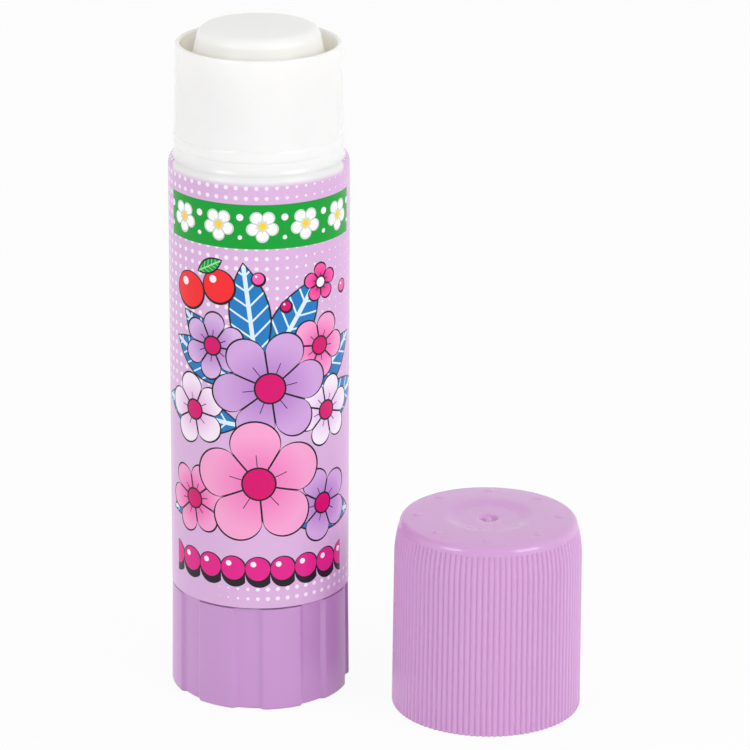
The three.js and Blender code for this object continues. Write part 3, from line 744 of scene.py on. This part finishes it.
knob_height = box_of("turning_knob")[1][2]
knob_top_radius = barrel_radius + KNOB_STEP
knob_foot_radius = knob_top_radius + KNOB_DRAFT
knob_bore = knob_top_radius - FLUTE_DEPTH - KNOB_WALL
knob_side = np.linspace(KNOB_FOOT_ROUND, knob_height - KNOB_LIP_ROUND, 14)[1:-1]
knob_outside = np.vstack([
    arc((-KNOB_FOOT_ROUND, KNOB_FOOT_ROUND), (KNOB_FOOT_ROUND, KNOB_FOOT_ROUND), -90, 0, 8),
    np.column_stack([0 * knob_side, knob_side]),
    arc((-KNOB_LIP_ROUND, knob_height - KNOB_LIP_ROUND), (KNOB_LIP_ROUND, KNOB_LIP_ROUND), 0, 90, 6),
])
knob_land = knob_foot_radius - KNOB_DRAFT * knob_outside[:, 1] / knob_height + knob_outside[:, 0]
knob_outer = knob_land[:, None] - FLUTE_DEPTH * flute_share(KNOB_COLUMNS)
knob_under = np.array([
    [0, 0], [RECESS_INNER, 0], [RECESS_INNER, RECESS_DEPTH - RECESS_CHAMFER],
    [RECESS_INNER + RECESS_CHAMFER, RECESS_DEPTH], [RECESS_OUTER - RECESS_CHAMFER, RECESS_DEPTH],
    [RECESS_OUTER, RECESS_DEPTH - RECESS_CHAMFER], [RECESS_OUTER, 0],
])
floor_radii = np.linspace(knob_bore, BOSS_RADIUS, 16)
floor_webs = np.stack([plate_share(r, WEB_COUNT, WEB_THICKNESS, KNOB_COLUMNS) for r in floor_radii])
socket_heights = np.array([
    BOSS_TOP, FOOT_RING + SOCKET_RING_REACH, FOOT_RING, FOOT_RING - SOCKET_RING_REACH, KNOB_FLOOR,
])
socket = np.stack([snap_ring(h, SOCKET_RADIUS, SOCKET_RING_HALF, KNOB_COLUMNS) for h in socket_heights])
knob_radius = np.concatenate([
    rings(knob_under[:, 0], KNOB_COLUMNS),
    knob_outer,
    rings([knob_bore, *floor_radii, BOSS_RADIUS], KNOB_COLUMNS),
    socket,
    rings([0], KNOB_COLUMNS),
])
knob_tall = np.concatenate([
    rings([*knob_under[:, 1], *knob_outside[:, 1], knob_height], KNOB_COLUMNS),
    KNOB_FLOOR + (WEB_TOP - KNOB_FLOOR) * floor_webs,
    rings([BOSS_TOP, *socket_heights, KNOB_FLOOR], KNOB_COLUMNS),
])
knob = round_surface("knob", knob_radius, knob_tall, KNOB_COLUMNS)

# Lilac polypropylene, coloured right through, with a satin face from a finely blasted mould
knob_plastic, _ = moulded_plastic(
    "moulded_lilac_polypropylene", "#c796cd", gloss=0.30, grain=0.7, haze=0.12, reach=1.0,
    tint=(1.0, 0.6, 0.9),
)
knob.data.materials.append(knob_plastic)
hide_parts("turning_knob")
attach(knob, "knob")


# The spindle: a coarse left-hand screw in plain polypropylene, with two flats along it. Its foot is
# a hexagon with a snap ring, held in the knob's boss, and its collar bears on the tube's floor.
STEM_RADIUS = 2.9
COLLAR_RADIUS = 4.6
COLLAR_HEIGHT = 1.0
SEAT_GAP = 0.05
THREAD_LEAD = 5.0
THREAD_CREST = 3.4
THREAD_ROOT = 2.35
CREST_HALF = 0.6
FLANK_SLOPE = 1.55 / 0.7
THREAD_FLAT = 2.7
LEAST_SINE = 0.01
THREAD_END = 1.3
THREAD_STEP = 0.2
SPINDLE_RING_HALF = 0.6
SPINDLE_TIP = 0.8
SPINDLE_COLUMNS = 96


def from_ridge(height, reference, columns):
    """How far a height lies from the middle of a left-hand ridge, which drops by one lead per turn
    from its reference height at the front, and the height of that middle."""
    turned = height + THREAD_LEAD * turn_angles(columns) / (2 * np.pi) - reference
    away = (turned + THREAD_LEAD / 2) % THREAD_LEAD - THREAD_LEAD / 2
    return np.abs(away), height - away


spindle_low, spindle_high = box_of("spindle")
collar_bottom = floor_top + SEAT_GAP
collar_top = collar_bottom + COLLAR_HEIGHT
spindle_top = spindle_high[2]
ring_heights = FOOT_RING + SPINDLE_RING_HALF * np.linspace(-1, 1, 5)
foot_heights = np.array([spindle_low[2], *ring_heights, BOSS_TOP])
foot_radius = np.stack([
    snap_ring(h, STEM_RADIUS, SPINDLE_RING_HALF, SPINDLE_COLUMNS) for h in foot_heights
])
stem_profile = np.array([
    [STEM_RADIUS, BOSS_TOP], [STEM_RADIUS, collar_bottom], [COLLAR_RADIUS, collar_bottom],
    [COLLAR_RADIUS, collar_top], [THREAD_ROOT, collar_top],
])
thread_heights = np.arange(collar_top + THREAD_STEP, spindle_top - SPINDLE_TIP, THREAD_STEP)[:, None]
away, middle = from_ridge(thread_heights, collar_top + THREAD_LEAD / 2, SPINDLE_COLUMNS)
thread_radius = np.clip(THREAD_CREST - (away - CREST_HALF) * FLANK_SLOPE, THREAD_ROOT, THREAD_CREST)
# The thread's radius, cut by the two flats: a flat's distance from the axis over the angle's sine
flat_sine = np.maximum(np.abs(np.sin(turn_angles(SPINDLE_COLUMNS))), LEAST_SINE)
thread_radius = np.minimum(thread_radius, np.maximum(THREAD_FLAT / flat_sine, THREAD_ROOT))
threaded = (middle > collar_top + THREAD_END) & (middle < spindle_top - SPINDLE_TIP - THREAD_END)
thread_radius = np.where(threaded, thread_radius, THREAD_ROOT)
spindle_end = np.array([
    [THREAD_ROOT, spindle_top - SPINDLE_TIP], [THREAD_ROOT - SPINDLE_TIP, spindle_top], [0, spindle_top],
])
spindle_radius = np.concatenate([
    rings([0], SPINDLE_COLUMNS), foot_radius, rings(stem_profile[:, 0], SPINDLE_COLUMNS),
    thread_radius, rings(spindle_end[:, 0], SPINDLE_COLUMNS),
])
spindle_tall = np.concatenate([
    [[spindle_low[2]]], foot_heights[:, None], stem_profile[:, 1:], thread_heights, spindle_end[:, 1:],
])
screw = round_surface("screw", spindle_radius, spindle_tall, SPINDLE_COLUMNS)

# Plain polypropylene, unpigmented, so milky and a little see-through
plain_plastic, _ = moulded_plastic(
    "natural_polypropylene", "#eceae6", gloss=0.45, grain=0.9, haze=0.6, reach=1.5,
    tint=(1.0, 0.95, 0.85),
)
screw.data.materials.append(plain_plastic)
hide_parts("spindle")
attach(screw, "knob")


# The carrier: the cup under the glue, one plain moulding. Its bush rides on the screw, four notches
# in its wall ride on the tube's ribs, so that it can't turn, and four fins key the glue to it.
CUP_WALL = 0.85
SLIDING_GAP = 0.15
LIFT_GAP = 0.3
CARRIER_BASE = 1.5
CUP_HEIGHT = 5.0
BUSH_WALL = 1.45
BUSH_HEIGHT = 7.0
BUSH_END = 1.7
THREAD_GAP = 0.2
ROOT_HALF = 1.0
FIN_COUNT = 4
FIN_THICKNESS = 0.8
FIN_HEIGHT = 2.6
CARRIER_COLUMNS = 288

sliding_radius = bore_radius - SLIDING_GAP
notch_radius = bore_radius - RIB_RISE - SLIDING_GAP
carrier_bottom = collar_top + LIFT_GAP
cup_floor = carrier_bottom + CARRIER_BASE
cup_top = carrier_bottom + CUP_HEIGHT
bush_top = carrier_bottom + BUSH_HEIGHT
cup_bore = sliding_radius - CUP_WALL
bush_bore = THREAD_CREST + SLIDING_GAP
bush_radius = bush_bore + BUSH_WALL
rib_notch = rib_share(RIB_WIDTH + 2 * SLIDING_GAP, CARRIER_COLUMNS)
notched = sliding_radius - (sliding_radius - notch_radius) * rib_notch
cup_radii = np.linspace(cup_bore, bush_radius, 10)
fins = np.stack([plate_share(r, FIN_COUNT, FIN_THICKNESS, CARRIER_COLUMNS) for r in cup_radii])
bush_heights = np.linspace(bush_top, carrier_bottom, 36)[:-1, None]
away, middle = from_ridge(bush_heights, collar_top, CARRIER_COLUMNS)
bush_crest = THREAD_ROOT + THREAD_GAP
bush_thread = np.clip(bush_crest + (away - ROOT_HALF) * FLANK_SLOPE, bush_crest, bush_bore)
threaded = (middle > carrier_bottom + BUSH_END) & (middle < bush_top - BUSH_END)
bush_thread = np.where(threaded, bush_thread, bush_bore)
carrier_radius = np.concatenate([
    rings([bush_bore], CARRIER_COLUMNS), [notched, notched],
    rings([cup_bore, *cup_radii, bush_radius], CARRIER_COLUMNS), bush_thread,
])
carrier_tall = np.concatenate([
    rings([carrier_bottom, carrier_bottom, cup_top, cup_top], CARRIER_COLUMNS),
    cup_floor + FIN_HEIGHT * fins, rings([bush_top, *bush_heights[:, 0]], CARRIER_COLUMNS),
])
cup = round_surface("cup", carrier_radius, carrier_tall, CARRIER_COLUMNS, closed=True)
cup.data.materials.append(plain_plastic)
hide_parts("carrier")
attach(cup, "glue")


# The glue: a waxy white column cast in the tube round the screw, with grooves where the tube's ribs
# stood. Near the top it is drawn in, and it ends in a soft corner and a slightly crowned face.
DOME_INSET = 2.05
DOME_SLOPE = 0.24
DOME_CORNER = 1.6
DOME_CORNER_TURN = 86
DOME_CROWN = 0.4
GLUE_OVER_SPINDLE = 0.9

glue_top = box_of("glue_column")[1][2]
ledge = cup_top + SEAT_GAP
screw_bore = THREAD_CREST + LIFT_GAP
dome_radius = sliding_radius - DOME_INSET
dome_edge = glue_top - DOME_CROWN - DOME_CORNER
face_radius = dome_radius - DOME_CORNER
dome_start = dome_edge - DOME_INSET / DOME_SLOPE
crown_share = np.linspace(1, 0, 20)[1:]
dome = np.vstack([
    np.linspace([sliding_radius, dome_start], [dome_radius, dome_edge], 12)[:-1],
    arc((face_radius, dome_edge), (DOME_CORNER, DOME_CORNER), 0, DOME_CORNER_TURN, 16),
    np.column_stack([face_radius * crown_share, glue_top - DOME_CROWN * crown_share ** 2]),
])
foot_radii = np.linspace(bush_radius + SEAT_GAP, cup_bore - SEAT_GAP, 10)
slot_width = FIN_THICKNESS + 2 * SEAT_GAP
slots = np.stack([plate_share(r, FIN_COUNT, slot_width, CARRIER_COLUMNS) for r in foot_radii])
hollow = np.array([
    [0, spindle_top + GLUE_OVER_SPINDLE], [THREAD_ROOT, spindle_top + GLUE_OVER_SPINDLE],
    [screw_bore, spindle_top], [screw_bore, bush_top + SEAT_GAP],
    [bush_radius + SEAT_GAP, bush_top + SEAT_GAP],
])
side_rows = np.vstack([[sliding_radius, ledge], dome])
side_radius = rings(side_rows[:, 0], CARRIER_COLUMNS)
side_radius = np.where(rib_notch > 0, np.minimum(side_radius, notched), side_radius)
glue_radius = np.concatenate([
    rings([*hollow[:, 0], *foot_radii, cup_bore - SEAT_GAP], CARRIER_COLUMNS), side_radius,
])
glue_tall = np.concatenate([
    rings(hollow[:, 1], CARRIER_COLUMNS),
    cup_floor + SEAT_GAP + FIN_HEIGHT * slots,
    rings([ledge, *side_rows[:, 1]], CARRIER_COLUMNS),
])
glue = round_surface("glue", glue_radius, glue_tall, CARRIER_COLUMNS)

# Waxy glue: soft white, light goes well into it, and its face is faintly uneven from the casting
WAX_WAVES_PER_MM = 0.26

wax, wax_tree = new_material("waxy_white_glue")
wax_place = add(wax_tree, "TexCoord").outputs["Object"]
wax_waves = add(wax_tree, "TexNoise", {
    "Vector": wax_place, "Scale": WAX_WAVES_PER_MM / METRES, "Detail": 4.0,
})
wax_bump = add(wax_tree, "Bump", {"Height": wax_waves, "Strength": 0.12, "Distance": 0.3 * METRES})
wax_surface = add(wax_tree, "BsdfPrincipled", {
    "Base Color": linear("#f5f5f3"), "Roughness": 0.36, "IOR": 1.46, "Normal": wax_bump,
    "Subsurface Weight": 0.5, "Subsurface Radius": (1.0, 0.95, 0.85), "Subsurface Scale": 2 * METRES,
})
add(wax_tree, "OutputMaterial", {"Surface": wax_surface})
glue.data.materials.append(wax)
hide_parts("glue_column")
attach(glue, "glue")


# The cap: lilac polypropylene, taken off and stood on its mouth. Fine upright ribs run round it, its
# top has eight pips, a dished middle and the mould's gate mark, and a ring inside seals the tube.
CAP_HEIGHT = 27.7
CAP_WALL = 1.34
CAP_NECK_GAP = 0.18
CAP_DRAFT = 0.008
CAP_FALL_START = 22.0
CAP_FALL = 0.032
CAP_FOOT_ROUND = 0.3
CAP_CORNER = 1.0
CAP_CROWN = 0.25
CAP_TOP_WALL = 1.5
CEILING_INSET = 0.9
CEILING_ROUND = 0.7
MOUTH_LEAD_IN = 0.35
CLICK_UP = 1.2
CLICK_HALF = 0.5
CLICK_PROUD = 0.22
SEAL_WALL = 0.75
SEAL_REACH = 1.5
SEAL_LEAD_IN = 0.3
KNURL_COUNT = 102
KNURL_DEPTH = 0.2
GROOVE_MIDDLE = 2 / 3
GROOVE_HALF = 1 / 3
KNURL_TOP = 26.35
KNURL_FADE = 0.3
DISH_RADIUS = 6.5
DISH_EDGE = 2.5
DISH_DEPTH = 0.45
GATE_RADIUS = 1.5
GATE_FLOOR = 0.95
GATE_DEPTH = 0.5
GATE_SURROUND = 1.0
NUB_RADIUS = 0.6
NUB_HEIGHT = 0.5
PIP_COUNT = 8
PIP_PHASE = -1.8
PIP_CIRCLE = 9.8
PIP_RADIUS = 0.7
PIP_EDGE = 0.35
PIP_RISE = 0.15
CAP_COLUMNS = 6 * KNURL_COUNT

cap_low, cap_high = box_of("cap")
cap_bore = neck_radius + BEAD_PROUD + CAP_NECK_GAP
cap_radius = cap_bore + CAP_WALL


def cap_side(height):
    """The cap's radius at a height: a light draft, less a fall that grows with the square of the
    height above where it starts."""
    return cap_radius - CAP_DRAFT * height - CAP_FALL * np.maximum(0, height - CAP_FALL_START) ** 2


corner_height = CAP_HEIGHT - CAP_CROWN - CAP_CORNER
corner_radius = cap_side(corner_height) - CAP_CORNER
side_heights = np.concatenate([
    np.linspace(CAP_FOOT_ROUND, CAP_FALL_START, 8)[1:-1],
    np.linspace(CAP_FALL_START, KNURL_TOP - KNURL_FADE, 12),
    np.linspace(KNURL_TOP - KNURL_FADE, KNURL_TOP, 5)[1:],
])
foot_arc = arc((-CAP_FOOT_ROUND, CAP_FOOT_ROUND), (CAP_FOOT_ROUND, CAP_FOOT_ROUND), -90, 0, 6)
ribbed_heights = np.concatenate([foot_arc[:, 1], side_heights])
ribbed_inset = np.concatenate([foot_arc[:, 0], 0 * side_heights])
# A groove fills two thirds of the way from one rib to the next
rib_phase = (turn_angles(CAP_COLUMNS) / (2 * np.pi) * KNURL_COUNT) % 1
rib_groove = s_curve(np.clip(1 - np.abs(rib_phase - GROOVE_MIDDLE) / GROOVE_HALF, 0, 1))
rib_fade = np.clip((KNURL_TOP - ribbed_heights) / KNURL_FADE, 0, 1)
ribbed_side = cap_side(ribbed_heights) + ribbed_inset
ribbed_radius = ribbed_side[:, None] - KNURL_DEPTH * rib_fade[:, None] * rib_groove

crown_radii = np.concatenate([
    np.linspace(corner_radius, PIP_CIRCLE + PIP_RADIUS, 5)[1:],
    np.linspace(PIP_CIRCLE + PIP_RADIUS, PIP_CIRCLE - PIP_RADIUS, 12)[1:],
    np.linspace(PIP_CIRCLE - PIP_RADIUS, DISH_RADIUS, 7)[1:],
])
crown_share = (crown_radii - DISH_RADIUS) / (corner_radius - DISH_RADIUS)
crown_heights = CAP_HEIGHT - CAP_CROWN * crown_share ** 2
edge_share = np.linspace(0, 1, 15)[1:]
gate_share = np.linspace(0, 1, 7)
dish_floor = CAP_HEIGHT - DISH_DEPTH
nub = arc((0, dish_floor - GATE_DEPTH), (NUB_RADIUS, NUB_HEIGHT), 0, 90, 6)
nub[-1, 0] = 0
top_profile = np.vstack([
    arc((corner_radius, corner_height), (CAP_CORNER, CAP_CORNER), 0, 90, 16),
    np.column_stack([crown_radii, crown_heights]),
    np.column_stack([
        DISH_RADIUS - DISH_EDGE * edge_share,
        CAP_HEIGHT - DISH_DEPTH * s_curve(edge_share),
    ]),
    [GATE_RADIUS + GATE_SURROUND, dish_floor],
    np.column_stack([
        GATE_RADIUS - (GATE_RADIUS - GATE_FLOOR) * gate_share,
        dish_floor - GATE_DEPTH * s_curve(gate_share),
    ]),
    nub,
])
# How far a place on the top lies from the nearest pip, by the cosine rule
pip_pitch = 2 * np.pi / PIP_COUNT
pip_angle = turn_angles(CAP_COLUMNS) - np.radians(PIP_PHASE)
pip_angle = (pip_angle + pip_pitch / 2) % pip_pitch - pip_pitch / 2
pip_away = np.sqrt(
    top_profile[:, :1] ** 2 + PIP_CIRCLE ** 2 - 2 * top_profile[:, :1] * PIP_CIRCLE * np.cos(pip_angle)
)
pips = PIP_RISE * s_curve(np.clip((PIP_RADIUS - pip_away) / PIP_EDGE, 0, 1))
# The closed cap's mouth rests where its bore meets the shoulder's ellipse
cap_seat = shoulder_start + SHOULDER_RISE * np.sqrt(1 - ((cap_bore - neck_radius) / SHOULDER_WIDTH) ** 2)
seal_bottom = rim_top - cap_seat - SEAL_REACH
seal_radius = sliding_radius - SEAL_WALL
ceiling = dish_floor - CAP_TOP_WALL
cap_inside = np.vstack([
    [0, ceiling], [seal_radius, ceiling], [seal_radius, seal_bottom],
    [sliding_radius - SEAL_LEAD_IN, seal_bottom], [sliding_radius, seal_bottom + SEAL_LEAD_IN],
    [sliding_radius, ceiling], [cap_bore - CEILING_INSET, ceiling],
    arc((cap_bore - CEILING_INSET, ceiling - CEILING_ROUND), (CEILING_ROUND, CEILING_ROUND), 90, 0, 6),
    arc((cap_bore, CLICK_UP), (-CLICK_PROUD, CLICK_HALF), 90, -90, 8),
    [cap_bore, MOUTH_LEAD_IN], [cap_bore + MOUTH_LEAD_IN, 0],
])
cap_radii = np.concatenate([
    rings(cap_inside[:, 0], CAP_COLUMNS), ribbed_radius, rings(top_profile[:, 0], CAP_COLUMNS),
])
cap_tall = np.concatenate([
    rings([*cap_inside[:, 1], *ribbed_heights], CAP_COLUMNS), top_profile[:, 1:] + pips,
])
cap_middle = (cap_low + cap_high) / 2
cap = round_surface("lid", cap_radii, cap_tall, CAP_COLUMNS, middle=cap_middle[:2])

# The same lilac plastic, a shade pinker, with a glossier face
cap_plastic, _ = moulded_plastic(
    "moulded_lilac_cap_polypropylene", "#d6a4d7", gloss=0.18, grain=0.7, haze=0.35, reach=1.0,
    tint=(1.0, 0.6, 0.9),
)
cap.data.materials.append(cap_plastic)
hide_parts("cap")
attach(cap, "cap")
